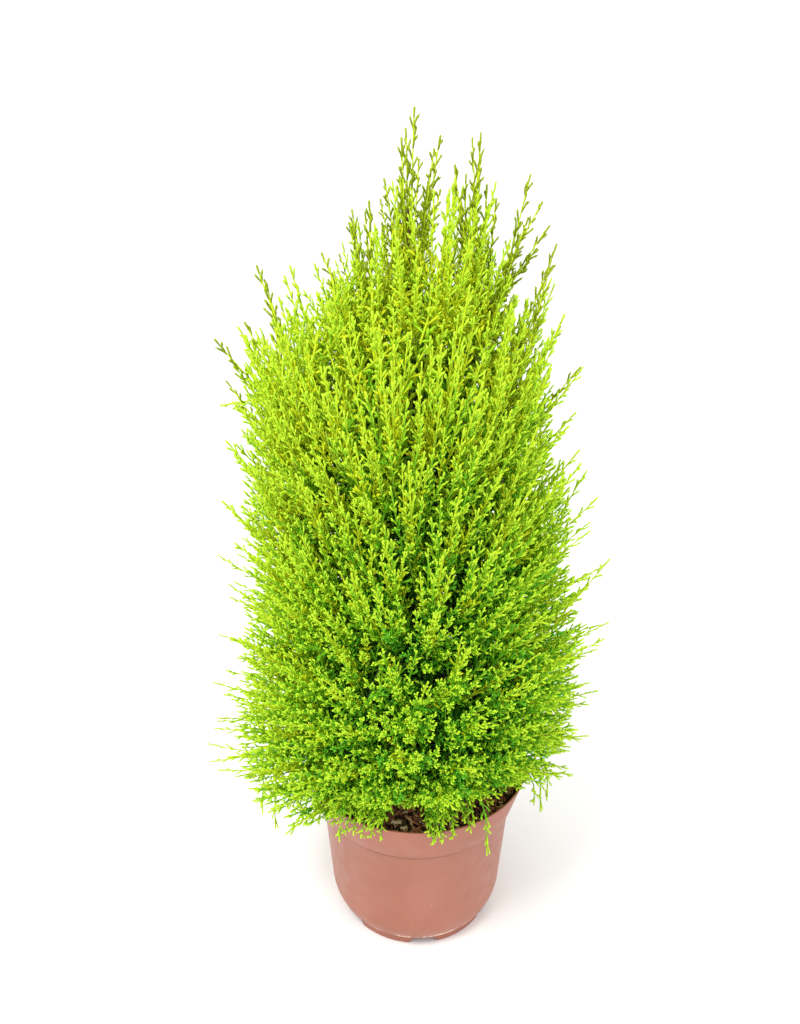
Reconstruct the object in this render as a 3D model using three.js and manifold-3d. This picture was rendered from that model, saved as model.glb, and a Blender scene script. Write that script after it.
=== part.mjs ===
// A young golden cypress in a round plastic nursery pot.
// Millimetres, +Z up. The origin is on the ground under the middle of the pot; the front is -Y.
// The trunk rises out of the compost. Boughs leave it in five whorls that sweep outwards and up, and
// each bough carries one mass of foliage. A narrow leader caps the trunk, which runs up inside it.
import * as THREE from 'three';
import { mergeVertices } from 'three/addons/utils/BufferGeometryUtils.js';
import Module from 'manifold-3d';

const { lerp, smoothstep, seededRandom, degToRad } = THREE.MathUtils;
const wasm = await Module();
wasm.setup();

// ---- The pot ----
const POT_HEIGHT = 145;
const RIM_RADIUS = 94.5;
const BAND_HEIGHT = 111;
const BAND_RADIUS = 84;
const BODY_TOP_RADIUS = 81;
const BODY_TOP_HEIGHT = 109;
const SHOULDER_RADIUS = 74.8;
const SHOULDER_HEIGHT = 30;
const HEEL_RADIUS = 67.5;
const HEEL_HEIGHT = 11;
const FOOT_RADIUS = 64.6;
const FOOT_WIDTH = 3;
const CHANNEL_HEIGHT = 7;
const BOSS_RADIUS = 30;
const WALL = 1.8;
const FLOOR = 2.6;
const BOSS_DRAFT = 3.5;
const HEEL_ROUND = { out: 0.65, up: 0.4 };
const POT_SIDES = 40;
const NOTCH_COUNT = 6;
const NOTCH_WIDTH = 19;
const NOTCH_HEIGHT = 5.5;
const NOTCH_AZIMUTH = degToRad(-85);
const DRAIN_RADIUS = 6;
const DRAIN_CIRCLE = 46;
const DRAIN_SIDES = 8;

// ---- The compost and the trunk ----
const SOIL_HEIGHT = 136;
const CLEARANCE = 0.4;
const TRUNK_TIP_HEIGHT = 588;
const TRUNK_TIP_RADIUS = 1.4;
const TRUNK_RADIUS = 8.5;
const FLARE_RADIUS = 13;
const FLARE_HEIGHT = 26;
const TRUNK_SIDES = 8;
const TRUNK_STEPS = 14;
const STEP_CROWDING = 1.5;
const TRUNK_LEAN = -8;

// ---- The crown ----
// The shoots fill the crown as a fan. A share of 0 is the lowest shoot and 1 the steepest one, beside
// the leader. Along a shoot, a reach of 0 is beside the trunk and 1 is the crown's leafy outline.
const FIRST_SHOOT_HEIGHT = 158;
const LAST_SHOOT_HEIGHT = 500;
const SHOOT_CROWDING = 1.45;
const CORE_RADIUS_LOW = 24;
const CORE_RADIUS_HIGH = 10;
const CROWN_PROFILE = new THREE.SplineCurve([
  new THREE.Vector2(138, 137),
  new THREE.Vector2(144, 205),
  new THREE.Vector2(129, 300),
  new THREE.Vector2(120, 400),
  new THREE.Vector2(105, 483),
  new THREE.Vector2(73, 564),
  new THREE.Vector2(28, 608),
]);
const SKIRT_ARCH = 20;
const SHOOT_BOW = 22;
const STEEP_BOW = 9;
const SKIRT_SHARE = 0.36;
const FRONT_LIFT = 46;
const FRONT_SHORTER = 0.1;
const FRONT_AZIMUTH = degToRad(-80);
// How far the right side of the top rises and its left side drops.
const TOP_TILT = 22;
const TOP_SHARE = 0.55;
// How much further the crown reaches on its left side, from the skirt up to the spires.
const LEFT_REACH = [0.08, -0.02, 0.02, 0.05, -0.2];

const MASS_GAP = 3;
const SHARE_MARGIN = 0.05;
const TIP_SPACING = 4;
const TIP_UNEVENNESS = 0.4;
const TOP_TIPS_LONGER = 0.5;
const FULLNESS_SPREAD = 0.05;
const BUMP = 0.04;
const BUMPS_ACROSS = 5;
const BUMPS_UP = 4;
const BOUGH_SIDES = 6;
const BOUGH_STEPS = 3;
const BOUGH_TAPER = 0.6;
const ENTRY_GAP = 0.03;
const FORK_DROP = 0.25;
const MASS_STEPS = { across: 5, up: 5, out: 3 };

// A whorl fills the fan between two shares with some boughs from its first azimuth on. Its masses
// start some way along the shoots, narrow towards the outline, round off at their edges and send out
// shoot tips. The last size is the radius of its boughs.
const WHORLS = [
  {
    name: 'skirt', count: 7, from: 0, to: 0.17, azimuth: 8,
    start: 0.3, narrow: 0.12, round: 0.12, tip: 0.13, bough: 3.4,
  },
  {
    name: 'lower', count: 6, from: 0.17, to: 0.36, azimuth: 31,
    start: 0.3, narrow: 0.14, round: 0.12, tip: 0.14, bough: 3.2,
  },
  {
    name: 'middle', count: 5, from: 0.36, to: 0.57, azimuth: 5,
    start: 0.3, narrow: 0.18, round: 0.14, tip: 0.16, bough: 2.9,
  },
  {
    name: 'upper', count: 5, from: 0.57, to: 0.82, azimuth: 48,
    start: 0.28, narrow: 0.25, round: 0.16, tip: 0.24, bough: 2.4,
  },
  {
    name: 'spire', count: 4, from: 0.82, to: 1, azimuth: 20,
    start: 0.25, narrow: 0.35, round: 0.24, tip: 0.27, bough: 1.8,
  },
];

// The leader is a narrow flame round the trunk's tip, with a few shoots of its own.
const LEADER_FOOT_HEIGHT = 512;
const LEADER_TIP_HEIGHT = 644;
const LEADER_RADIUS = 13;
const LEADER_TIP = 0.12;
const LEADER_RIPPLE = 0.22;
const LEADER_RIDGES = 3;
const LEADER_TWIST = 9;
const LEADER_SIDES = 9;
const LEADER_STEPS = 7;

const finish = (color, roughness) => new THREE.MeshStandardMaterial({ color, roughness, metalness: 0 });
const plastic = finish('#c5806b', 0.5);
const compost = finish('#3a2a20', 0.95);
const bark = finish('#6b5138', 0.85);
const foliage = {
  skirt: finish('#8fbf1c', 0.6),
  lower: finish('#86c51e', 0.6),
  middle: finish('#92cc22', 0.6),
  upper: finish('#9fd02a', 0.6),
  spire: finish('#a9cf35', 0.6),
  leader: finish('#b4d43c', 0.6),
};

const plant = new THREE.Group();

function place(name, geometry, material) {
  const mesh = new THREE.Mesh(geometry, material);
  mesh.name = name;
  plant.add(mesh);
}

// Only the positions are kept, with shared corners merged, so that the surface is closed.
function closed(geometry) {
  geometry.deleteAttribute('normal');
  geometry.deleteAttribute('uv');
  return mergeVertices(geometry);
}

// Every vertex of a plain shape goes where a rule puts it.
function reshape(geometry, rule) {
  const shape = closed(geometry);
  const position = shape.getAttribute('position');
  const point = new THREE.Vector3();
  for (let i = 0; i < position.count; i += 1) {
    rule(point.fromBufferAttribute(position, i));
    position.setXYZ(i, point.x, point.y, point.z);
  }
  return shape;
}

function toSolid(geometry) {
  const shape = closed(geometry.clone());
  const vertProperties = new Float32Array(shape.getAttribute('position').array);
  const triVerts = new Uint32Array(shape.index.array);
  return new wasm.Manifold(new wasm.Mesh({ numProp: 3, vertProperties, triVerts }));
}

function toGeometry(solid) {
  const { vertProperties, triVerts } = solid.getMesh();
  const geometry = new THREE.BufferGeometry();
  geometry.setAttribute('position', new THREE.BufferAttribute(new Float32Array(vertProperties), 3));
  geometry.setIndex(new THREE.BufferAttribute(new Uint32Array(triVerts), 1));
  return geometry;
}

// A profile of radius and height, turned round the upright axis.
function turned(profile, sides) {
  const geometry = new THREE.LatheGeometry(profile, sides);
  geometry.rotateX(Math.PI / 2);
  return geometry;
}

// ---- Pot: one moulded wall, a rim band, a foot ring with notches and drain holes in the channel ----
function potProfile() {
  const outside = [
    new THREE.Vector2(0, 0),
    new THREE.Vector2(BOSS_RADIUS, 0),
    new THREE.Vector2(BOSS_RADIUS + BOSS_DRAFT, CHANNEL_HEIGHT),
    new THREE.Vector2(FOOT_RADIUS - FOOT_WIDTH, CHANNEL_HEIGHT),
    new THREE.Vector2(FOOT_RADIUS - FOOT_WIDTH, 0),
    new THREE.Vector2(FOOT_RADIUS, 0),
    new THREE.Vector2(FOOT_RADIUS, HEEL_HEIGHT - 1),
    new THREE.Vector2(HEEL_RADIUS, HEEL_HEIGHT),
    new THREE.Vector2(
      lerp(HEEL_RADIUS, SHOULDER_RADIUS, HEEL_ROUND.out),
      lerp(HEEL_HEIGHT, SHOULDER_HEIGHT, HEEL_ROUND.up),
    ),
    new THREE.Vector2(SHOULDER_RADIUS, SHOULDER_HEIGHT),
    new THREE.Vector2(BODY_TOP_RADIUS, BODY_TOP_HEIGHT),
    new THREE.Vector2(BAND_RADIUS, BAND_HEIGHT),
    new THREE.Vector2(RIM_RADIUS, POT_HEIGHT),
  ];
  const inside = [
    new THREE.Vector2(RIM_RADIUS - WALL, POT_HEIGHT),
    new THREE.Vector2(BAND_RADIUS - WALL, BAND_HEIGHT),
    new THREE.Vector2(BODY_TOP_RADIUS - WALL, BODY_TOP_HEIGHT - WALL),
    new THREE.Vector2(SHOULDER_RADIUS - WALL, SHOULDER_HEIGHT + WALL),
    new THREE.Vector2(HEEL_RADIUS - FLOOR, CHANNEL_HEIGHT + FLOOR),
    new THREE.Vector2(0, CHANNEL_HEIGHT + FLOOR),
  ];
  return [...outside, ...inside];
}

function makePot() {
  let pot = toSolid(turned(potProfile(), POT_SIDES));
  for (let i = 0; i < NOTCH_COUNT; i += 1) {
    const azimuth = NOTCH_AZIMUTH + (i * 2 * Math.PI) / NOTCH_COUNT;
    const notch = new THREE.BoxGeometry(4 * FOOT_WIDTH, NOTCH_WIDTH, 2 * NOTCH_HEIGHT);
    notch.translate(FOOT_RADIUS, 0, 0);
    notch.rotateZ(azimuth);
    pot = pot.subtract(toSolid(notch));
    const drain = new THREE.CylinderGeometry(DRAIN_RADIUS, DRAIN_RADIUS, 6 * FLOOR, DRAIN_SIDES);
    drain.rotateX(Math.PI / 2);
    drain.translate(DRAIN_CIRCLE, 0, CHANNEL_HEIGHT);
    drain.rotateZ(azimuth);
    pot = pot.subtract(toSolid(drain));
  }
  return toGeometry(pot);
}

// The compost fills the pot with a thin clearance, and its flat top lies just below the rim.
function compostProfile() {
  const floor = CHANNEL_HEIGHT + FLOOR + CLEARANCE;
  const side = WALL + 2 * CLEARANCE;
  const soilRise = (SOIL_HEIGHT - BAND_HEIGHT) / (POT_HEIGHT - BAND_HEIGHT);
  const soilRadius = lerp(BAND_RADIUS, RIM_RADIUS, soilRise);
  return [
    new THREE.Vector2(0, floor),
    new THREE.Vector2(HEEL_RADIUS - FLOOR - 3 * CLEARANCE, floor),
    new THREE.Vector2(SHOULDER_RADIUS - side, SHOULDER_HEIGHT + WALL),
    new THREE.Vector2(BODY_TOP_RADIUS - side, BODY_TOP_HEIGHT - WALL),
    new THREE.Vector2(BAND_RADIUS - side, BAND_HEIGHT),
    new THREE.Vector2(soilRadius - side, SOIL_HEIGHT),
    new THREE.Vector2(0, SOIL_HEIGHT),
  ];
}

// ---- Trunk: a flared foot, a long taper and a slight lean to the left ----
function leanAt(height) {
  return TRUNK_LEAN * smoothstep(height, SOIL_HEIGHT, 2 * SOIL_HEIGHT);
}

function trunkRadiusAt(height) {
  const rise = (height - SOIL_HEIGHT) / (TRUNK_TIP_HEIGHT - SOIL_HEIGHT);
  const aboveFlare = smoothstep(height, SOIL_HEIGHT, SOIL_HEIGHT + FLARE_HEIGHT);
  const flare = (FLARE_RADIUS - TRUNK_RADIUS) * (1 - aboveFlare);
  return lerp(TRUNK_RADIUS, TRUNK_TIP_RADIUS, THREE.MathUtils.clamp(rise, 0, 1)) + flare;
}

// The trunk's steps crowd towards its foot, where the flare curves most.
function trunkGeometry(extra) {
  const plain = new THREE.CylinderGeometry(1, 1, 1, TRUNK_SIDES, TRUNK_STEPS);
  plain.rotateX(Math.PI / 2);
  return reshape(plain, (point) => {
    const foot = SOIL_HEIGHT + CLEARANCE - extra;
    const height = lerp(foot, TRUNK_TIP_HEIGHT + extra, (point.z + 0.5) ** STEP_CROWDING);
    const radius = trunkRadiusAt(height) + extra;
    point.set(point.x * radius + leanAt(height), point.y * radius, height);
  });
}

// ---- The fan of shoots ----
function leftReachAt(share) {
  const place = share * (LEFT_REACH.length - 1);
  const below = Math.min(Math.floor(place), LEFT_REACH.length - 2);
  return lerp(LEFT_REACH[below], LEFT_REACH[below + 1], place - below);
}

function boughAzimuth(whorl, index) {
  return degToRad(whorl.azimuth) + (index * 2 * Math.PI) / whorl.count;
}

// A shoot is a curve with three control points, in the upright half-plane of its azimuth.
function shootPoint(azimuth, share, reach) {
  const start = new THREE.Vector2(
    lerp(CORE_RADIUS_LOW, CORE_RADIUS_HIGH, share),
    lerp(FIRST_SHOOT_HEIGHT, LAST_SHOOT_HEIGHT, share ** SHOOT_CROWDING),
  );
  const end = CROWN_PROFILE.getPointAt(share);
  const skirt = 1 - smoothstep(share, 0, SKIRT_SHARE);
  const facing = Math.max(0, Math.cos(azimuth - FRONT_AZIMUTH)) ** 2;
  end.x *= 1 - leftReachAt(share) * Math.cos(azimuth) - FRONT_SHORTER * skirt * facing;
  end.y += FRONT_LIFT * skirt * facing;
  end.y += TOP_TILT * Math.cos(azimuth) * smoothstep(share, TOP_SHARE, 1);
  const bow = lerp(lerp(SHOOT_BOW, STEEP_BOW, share), -SKIRT_ARCH * (1 - facing), skirt);
  const along = end.clone().sub(start).normalize();
  const bend = start.clone().lerp(end, 0.5);
  bend.x += bow * along.y;
  bend.y -= bow * along.x;
  const stay = (1 - reach) ** 2;
  const turn = 2 * reach * (1 - reach);
  const radius = start.x * stay + bend.x * turn + end.x * reach ** 2;
  const height = start.y * stay + bend.y * turn + end.y * reach ** 2;
  return new THREE.Vector3(
    radius * Math.cos(azimuth) + leanAt(height),
    radius * Math.sin(azimuth),
    height,
  );
}

// ---- Masses: each fills its own cell of the fan, with an uneven leafy face and shoot tips ----
// A block is the plain shape: x runs round the crown, y up the fan and z out along the shoots, each
// from -0.5 to 0.5. Every fourth corner inside the outer face is pulled out into a shoot tip.
function massReach(whorl, index, seed, point) {
  const sideways = 2 * point.x;
  const upwards = 2 * point.y;
  const edge = Math.max(Math.abs(sideways), Math.abs(upwards)) ** 3;
  const phase = seededRandom(seed) * 2 * Math.PI;
  const bump = BUMP * Math.sin(BUMPS_ACROSS * sideways + phase) * Math.cos(BUMPS_UP * upwards + 2 * phase);
  const fullness = 1 + FULLNESS_SPREAD * (seededRandom(seed + 0.5) - 0.5);
  const column = Math.round((point.x + 0.5) * MASS_STEPS.across);
  const row = Math.round((point.y + 0.5) * MASS_STEPS.up);
  const onRim = column % MASS_STEPS.across === 0 || row % MASS_STEPS.up === 0;
  const isTip = !onRim && (column + 2 * row + index) % TIP_SPACING === 0;
  const luck = seededRandom(seed + 7 * column + 31 * row);
  const length = lerp(1 - TIP_UNEVENNESS, 1, luck) * (1 + TOP_TIPS_LONGER * upwards);
  return fullness * (1 - whorl.round * edge) + bump + (isTip ? whorl.tip * length : 0);
}

function makeMass(whorl, index) {
  const middle = boughAzimuth(whorl, index);
  const width = (2 * Math.PI) / whorl.count;
  const margin = SHARE_MARGIN * (whorl.to - whorl.from);
  const seed = whorl.azimuth * 10 + index;
  const block = new THREE.BoxGeometry(1, 1, 1, MASS_STEPS.across, MASS_STEPS.up, MASS_STEPS.out);

  return reshape(block, (point) => {
    const depth = point.z + 0.5;
    const reach = lerp(whorl.start, massReach(whorl, index, seed, point), depth);
    const taper = 1 - whorl.narrow * depth ** 2;
    const share = lerp(whorl.from + margin, whorl.to - margin, point.y * taper + 0.5);
    const centre = shootPoint(middle, share, reach);
    const radius = Math.hypot(centre.x - leanAt(centre.z), centre.y);
    const azimuth = middle + point.x * taper * (width - MASS_GAP / radius);
    point.copy(shootPoint(azimuth, share, reach));
  });
}

// ---- Boughs: one tapering limb each, from the trunk's bark to the inner face of its mass ----
function makeBough(whorl, index) {
  const azimuth = boughAzimuth(whorl, index);
  const share = (whorl.from + whorl.to) / 2;
  const entry = shootPoint(azimuth, share, whorl.start - ENTRY_GAP);
  const elbow = shootPoint(azimuth, share, 0);
  const outwards = new THREE.Vector3(Math.cos(azimuth), Math.sin(azimuth), 0);
  const fork = elbow.clone().lerp(entry, -FORK_DROP);
  const stem = trunkRadiusAt(fork.z) + whorl.bough;
  fork.set(leanAt(fork.z) + outwards.x * stem, outwards.y * stem, fork.z);
  const line = new THREE.QuadraticBezierCurve3(fork, elbow, entry);
  const side = new THREE.Vector3(-outwards.y, outwards.x, 0);

  return reshape(new THREE.CylinderGeometry(1, 1, 1, BOUGH_SIDES, BOUGH_STEPS), (point) => {
    const along = point.y + 0.5;
    const radius = whorl.bough * lerp(1, BOUGH_TAPER, along);
    const tangent = line.getTangent(along);
    const over = new THREE.Vector3().crossVectors(side, tangent);
    const spot = line.getPoint(along);
    spot.addScaledVector(over, -point.x * radius);
    spot.addScaledVector(side, point.z * radius);
    point.copy(spot);
  });
}

// ---- Leader: the topmost mass, with a pocket that the trunk's tip runs up into ----
function makeLeader() {
  const flame = new THREE.CylinderGeometry(1, 1, 1, LEADER_SIDES, LEADER_STEPS);
  flame.rotateX(Math.PI / 2);
  const shape = reshape(flame, (point) => {
    const rise = point.z + 0.5;
    const azimuth = Math.atan2(point.y, point.x);
    const swell = Math.max(LEADER_TIP, Math.sin(Math.PI * Math.min(1, 0.25 + 0.8 * rise)));
    const ripple = 1 + LEADER_RIPPLE * Math.sin(LEADER_RIDGES * azimuth + LEADER_TWIST * rise);
    const radius = LEADER_RADIUS * swell * ripple;
    const height = lerp(LEADER_FOOT_HEIGHT, LEADER_TIP_HEIGHT, rise);
    point.set(point.x * radius + leanAt(height), point.y * radius, height);
  });
  return toGeometry(toSolid(shape).subtract(toSolid(trunkGeometry(CLEARANCE))));
}

place('pot', makePot(), plastic);
place('root_ball', turned(compostProfile(), POT_SIDES), compost);
place('trunk', trunkGeometry(0), bark);
for (const whorl of WHORLS) {
  for (let i = 0; i < whorl.count; i += 1) {
    place(`bough_${whorl.name}_${i + 1}`, makeBough(whorl, i), bark);
    place(`mass_${whorl.name}_${i + 1}`, makeMass(whorl, i), foliage[whorl.name]);
  }
}
place('mass_leader', makeLeader(), foliage.leader);

export default plant;
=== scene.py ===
# %% [markdown]
# # A young golden cypress in a nursery pot
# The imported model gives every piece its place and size: a pot, its compost, a trunk, boughs and one
# plain solid for each mass of foliage. This script keeps that frame and grows the looks around it.

import math

import bmesh
import bpy
import numpy as np
from mathutils import Matrix, Vector, bvhtree, noise


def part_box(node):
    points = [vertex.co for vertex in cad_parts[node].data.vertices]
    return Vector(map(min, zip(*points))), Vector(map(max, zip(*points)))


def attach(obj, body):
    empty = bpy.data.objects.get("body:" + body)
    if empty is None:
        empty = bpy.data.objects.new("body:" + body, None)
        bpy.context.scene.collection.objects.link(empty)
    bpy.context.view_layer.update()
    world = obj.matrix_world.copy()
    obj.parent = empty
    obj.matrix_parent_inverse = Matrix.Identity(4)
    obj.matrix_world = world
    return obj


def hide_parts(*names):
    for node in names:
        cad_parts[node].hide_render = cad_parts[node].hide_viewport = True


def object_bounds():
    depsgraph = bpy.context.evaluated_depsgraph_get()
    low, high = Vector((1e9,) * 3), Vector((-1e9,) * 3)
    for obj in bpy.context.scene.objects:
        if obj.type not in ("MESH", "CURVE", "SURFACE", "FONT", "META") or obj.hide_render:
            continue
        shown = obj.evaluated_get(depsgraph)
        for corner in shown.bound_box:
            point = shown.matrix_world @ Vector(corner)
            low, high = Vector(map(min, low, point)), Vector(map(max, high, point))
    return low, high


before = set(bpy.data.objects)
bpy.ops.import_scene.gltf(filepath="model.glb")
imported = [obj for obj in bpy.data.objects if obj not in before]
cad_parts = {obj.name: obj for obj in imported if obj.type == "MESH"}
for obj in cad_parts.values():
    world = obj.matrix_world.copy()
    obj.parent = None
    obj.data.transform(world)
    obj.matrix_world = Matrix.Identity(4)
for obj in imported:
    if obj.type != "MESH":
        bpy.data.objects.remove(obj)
frame_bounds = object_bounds()
MM = 0.001
print("the frame has", len(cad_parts), "nodes")

# %% [markdown]
# ## The camera
# A hand-held view from the height of the top shoots, 60 cm away and looking down by 22 degrees. A wide
# lens this close makes the pot look small under the crown, so the lens matters as much as the place. The
# camera comes first, so that every later piece can be judged in it.

# %% The camera
CAMERA_PLACE = Vector((-0.014, -0.600, 0.612))
CAMERA_PITCH = math.radians(22)
CAMERA_LENS = 29.9

camera_data = bpy.data.cameras.new("camera")
camera_data.lens = CAMERA_LENS
camera_data.sensor_width = 36
camera_data.clip_start = 0.01
camera = bpy.data.objects.new("camera", camera_data)
camera.location = CAMERA_PLACE
camera.rotation_euler = (math.pi / 2 - CAMERA_PITCH, 0, 0)
bpy.context.scene.collection.objects.link(camera)
bpy.context.scene.camera = camera
print("camera at", tuple(round(c, 3) for c in CAMERA_PLACE), "with a lens of", CAMERA_LENS, "mm")

# %% [markdown]
# ## Reading the frame
# The trunk solid is a stack of rings. Their centres and radii give the trunk's line at any height,
# and every limb, twig and spray is placed from that line and from the solids of the masses.

# %% Measures of the frame
def node_points(name):
    points = np.array([tuple(v.co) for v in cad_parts[name].data.vertices])
    return np.unique(points.round(6), axis=0)


def trunk_rings_of(points):
    """One row for each level ring of the trunk: its height, its centre and its radius."""
    heights = points[:, 2].round(4)
    rows = []
    for height in np.unique(heights):
        ring = points[heights == height]
        centre = (ring.max(0) + ring.min(0)) / 2
        rows.append((height, centre[0], centre[1], np.ptp(ring[:, 0]) / 2))
    return np.array(rows)


trunk_rings = trunk_rings_of(node_points("trunk"))
SOIL_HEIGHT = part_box("root_ball")[1].z
CROWN_TOP = frame_bounds[1][2]


def trunk_at(height):
    """The middle of the trunk at a height; above its tip the line goes straight up."""
    x = np.interp(height, trunk_rings[:, 0], trunk_rings[:, 1])
    y = np.interp(height, trunk_rings[:, 0], trunk_rings[:, 2])
    return np.stack([x, y], axis=-1)


def outwards(point):
    """The level direction from the trunk's line to a point, and the distance."""
    level = point[:2] - trunk_at(point[2])
    distance = np.linalg.norm(level)
    return level / max(distance, 1e-6), distance


mass_names = sorted(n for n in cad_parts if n.startswith("mass_"))
bough_names = sorted(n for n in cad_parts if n.startswith("bough_"))
print(len(mass_names), "masses,", len(bough_names), "boughs, compost up to", round(SOIL_HEIGHT, 4))

# %% [markdown]
# ## Plain materials
# New growth on a golden cypress is lime yellow and turns to a deeper green behind. A few plain
# colours are dealt out by spray: each spray has one colour for its stem and three for its older,
# middle and young parts. Where a spray grows, its colours also carry painted light and shade. Plain
# colours survive every export, and the light does the rest.

# %% Materials for stems and leaves
def linear(red, green, blue):
    """A colour given from 0 to 255, turned into the values that a shader wants."""
    channels = [c / 255 for c in (red, green, blue)]
    return tuple(c / 12.92 if c <= 0.04045 else ((c + 0.055) / 1.055) ** 2.4 for c in channels) + (1.0,)


def plain_material(name, color, roughness, specular=0.15):
    material = bpy.data.materials.new(name)
    material.use_nodes = True
    shader = material.node_tree.nodes["Principled BSDF"]
    shader.inputs["Base Color"].default_value = linear(*color)
    shader.inputs["Roughness"].default_value = roughness
    shader.inputs["Specular IOR Level"].default_value = specular
    material.diffuse_color = linear(*color)
    return material


LEAF_COLORS = {
    "stem_yellow": (194, 214, 40),
    "stem_green": (120, 186, 38),
    "gold": (214, 226, 38),
    "lime": (196, 234, 56),
    "fresh": (168, 218, 40),
    "green": (134, 208, 46),
    "leaf": (108, 190, 48),
    "deep": (80, 158, 34),
    "shade": (34, 100, 14),
    "straw": (180, 202, 40),
    "olive": (152, 172, 36),
    "dry": (96, 100, 56),
}
leaf_materials = [plain_material(name, color, 0.6, 0.06) for name, color in LEAF_COLORS.items()]
leaf_names = list(LEAF_COLORS)
# Each dress names the colours of a spray's stem and of its older, middle and young parts.
DRESSES = {
    "tip": ("stem_yellow", "straw", "straw", "olive"),
    "golden": ("stem_yellow", "fresh", "gold", "lime"),
    "bright": ("stem_green", "green", "fresh", "lime"),
    "leafy": ("stem_green", "deep", "green", "lime"),
    "shady": ("stem_green", "deep", "leaf", "lime"),
    "inner": ("stem_green", "shade", "deep", "leaf"),
    "dark": ("dry", "shade", "deep", "deep"),
}
dress_slots = {name: np.array([leaf_names.index(c) for c in colors]) for name, colors in DRESSES.items()}
print(len(leaf_materials), "leaf colours in", len(DRESSES), "dresses")

# %% [markdown]
# ## One spray
# A cypress shoot is a stem with side twigs set round it in a spiral. Each side twig is one long cord of
# scale leaves, a rod of ten faces with a blunt point, and it carries short cords left and right, spindles
# of six faces that are thickest near their tips. Nineteen different sprays are enough, because each
# copy is turned, bent and scaled.

# %% Long and short cords
# The ages of a spray's faces; those of its stem keep 0.
OLD, MIDDLE, YOUNG = 1, 2, 3
CORD_ENDS = (0.38, 0.5)
POINT = 0.16
KNOB_WAIST = 0.12
rng = np.random.default_rng(11)


def add_tube(bm, radii, length, sides, cuts=0):
    """A closed tube that stands on the origin along +Z, with rings cut into its sides."""
    tube = bmesh.ops.create_cone(
        bm, cap_ends=True, segments=sides, radius1=radii[0], radius2=radii[1], depth=length
    )["verts"]
    bmesh.ops.translate(bm, vec=(0, 0, length / 2), verts=tube)
    if cuts:
        upright = [e for e in bm.edges if abs(e.verts[0].co.z - e.verts[1].co.z) > length / 2]
        bmesh.ops.subdivide_edges(bm, edges=upright, cuts=cuts)
    return tube


def stood_up(bm, cord, base, direction, age):
    """Puts a cord that was made along +Z in its place, and notes its age on its faces."""
    turn = direction.to_track_quat("Z", "Y").to_matrix().to_4x4()
    bmesh.ops.transform(bm, matrix=Matrix.Translation(base) @ turn, verts=cord)
    for face in {f for v in cord for f in v.link_faces}:
        face.material_index = age


def add_cord(bm, base, direction, length, width, age):
    """A long cord of scale leaves: a rod with three sides, thicker outwards, with a blunt point."""
    cord = add_tube(bm, [end * width for end in CORD_ENDS], length * (1 - POINT), 3)
    top = [f for f in {f for v in cord for f in v.link_faces} if f.calc_center_median().z > 0.7 * length]
    point = bmesh.ops.poke(bm, faces=top)["verts"]
    bmesh.ops.translate(bm, vec=(0, 0, length * POINT), verts=point)
    stood_up(bm, cord + point, base, direction, age)


def add_knob(bm, base, direction, length, width, age):
    """A short cord: a spindle of six faces, thickest beyond its middle."""
    knob = bmesh.ops.create_uvsphere(bm, u_segments=3, v_segments=2, radius=0.5)["verts"]
    bmesh.ops.scale(bm, vec=(width, width, length), verts=knob)
    waist = [v for v in knob if abs(v.co.z) < length / 4]
    bmesh.ops.translate(bm, vec=(0, 0, KNOB_WAIST * length), verts=waist)
    bmesh.ops.translate(bm, vec=(0, 0, length / 2), verts=knob)
    stood_up(bm, knob, base, direction, age)


print("a long cord has ten faces and a short one has six")

# %% Spray shapes
GOLDEN_TURN = math.radians(137.5)
KNOB_WIDTH = 1.15
KNOB_LIFT = (-0.1, 0.45)
STEM_ENDS = (0.42, 0.34)
LAST_TWIG = 0.97
OLD_PART, MIDDLE_PART = 0.3, 0.62
TIP_REACH = 3.4 * MM
TIP_CORD = 5.5 * MM
TIP_SINK = 3 * MM


def leaning(around, spread):
    """A direction that leans away from +Z by an angle, towards an azimuth."""
    level = math.sin(spread)
    return Vector((level * math.cos(around), level * math.sin(around), math.cos(spread)))


def add_side_twig(bm, base, direction, length, knob, width, swing, age):
    """A side twig: one long cord with shorter ones left and right of it."""
    add_cord(bm, base, direction, length, width, age)
    sideways = direction.cross(Vector((0, 0, 1))).normalized()
    knobs = int(length / knob)
    for k in range(knobs):
        along = (k + rng.uniform(0.5, 1.0)) / (knobs + 0.7)
        aside = sideways * (swing if k % 2 else -swing) + Vector((0, 0, rng.uniform(*KNOB_LIFT)))
        size = knob * rng.uniform(0.9, 1.2) * (1.15 - 0.35 * along)
        spot = base + direction * length * along
        knob_age = min(age + (k > 0), YOUNG)
        add_knob(bm, spot, (direction + aside).normalized(), size, KNOB_WIDTH * width, knob_age)


def make_spray(length, spacing, twig_length, knob, width, spread, bare):
    """A straight spray along +Z: its stem, its side twigs in a spiral and a cord on its tip."""
    bm = bmesh.new()
    add_tube(bm, [end * width for end in STEM_ENDS], length, 3, 2)
    count = int(length * (1 - bare) / spacing)
    around = rng.uniform(0, 2 * math.pi)
    for i in range(count):
        share = bare + (LAST_TWIG - bare) * (i + rng.uniform(0, 0.6)) / count
        around += GOLDEN_TURN + rng.uniform(-0.3, 0.3)
        lean = math.radians(spread * rng.uniform(0.85, 1.15) * (1 - 0.2 * share))
        reach = (TIP_REACH + twig_length * (1 - share) ** 0.7) * rng.uniform(0.75, 1.15)
        age = OLD if share < OLD_PART else MIDDLE if share < MIDDLE_PART else YOUNG
        foot = Vector((0, 0, share * length))
        add_side_twig(bm, foot, leaning(around, lean), reach, knob, width, math.sin(1.1 * lean), age)
    add_cord(bm, Vector((0, 0, length - TIP_SINK)), leaning(around, 0.06), TIP_CORD, width * 1.1, YOUNG)
    bmesh.ops.triangulate(bm, faces=bm.faces[:])
    bm.normal_update()
    return taken(bm) | {"length": length}


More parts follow.
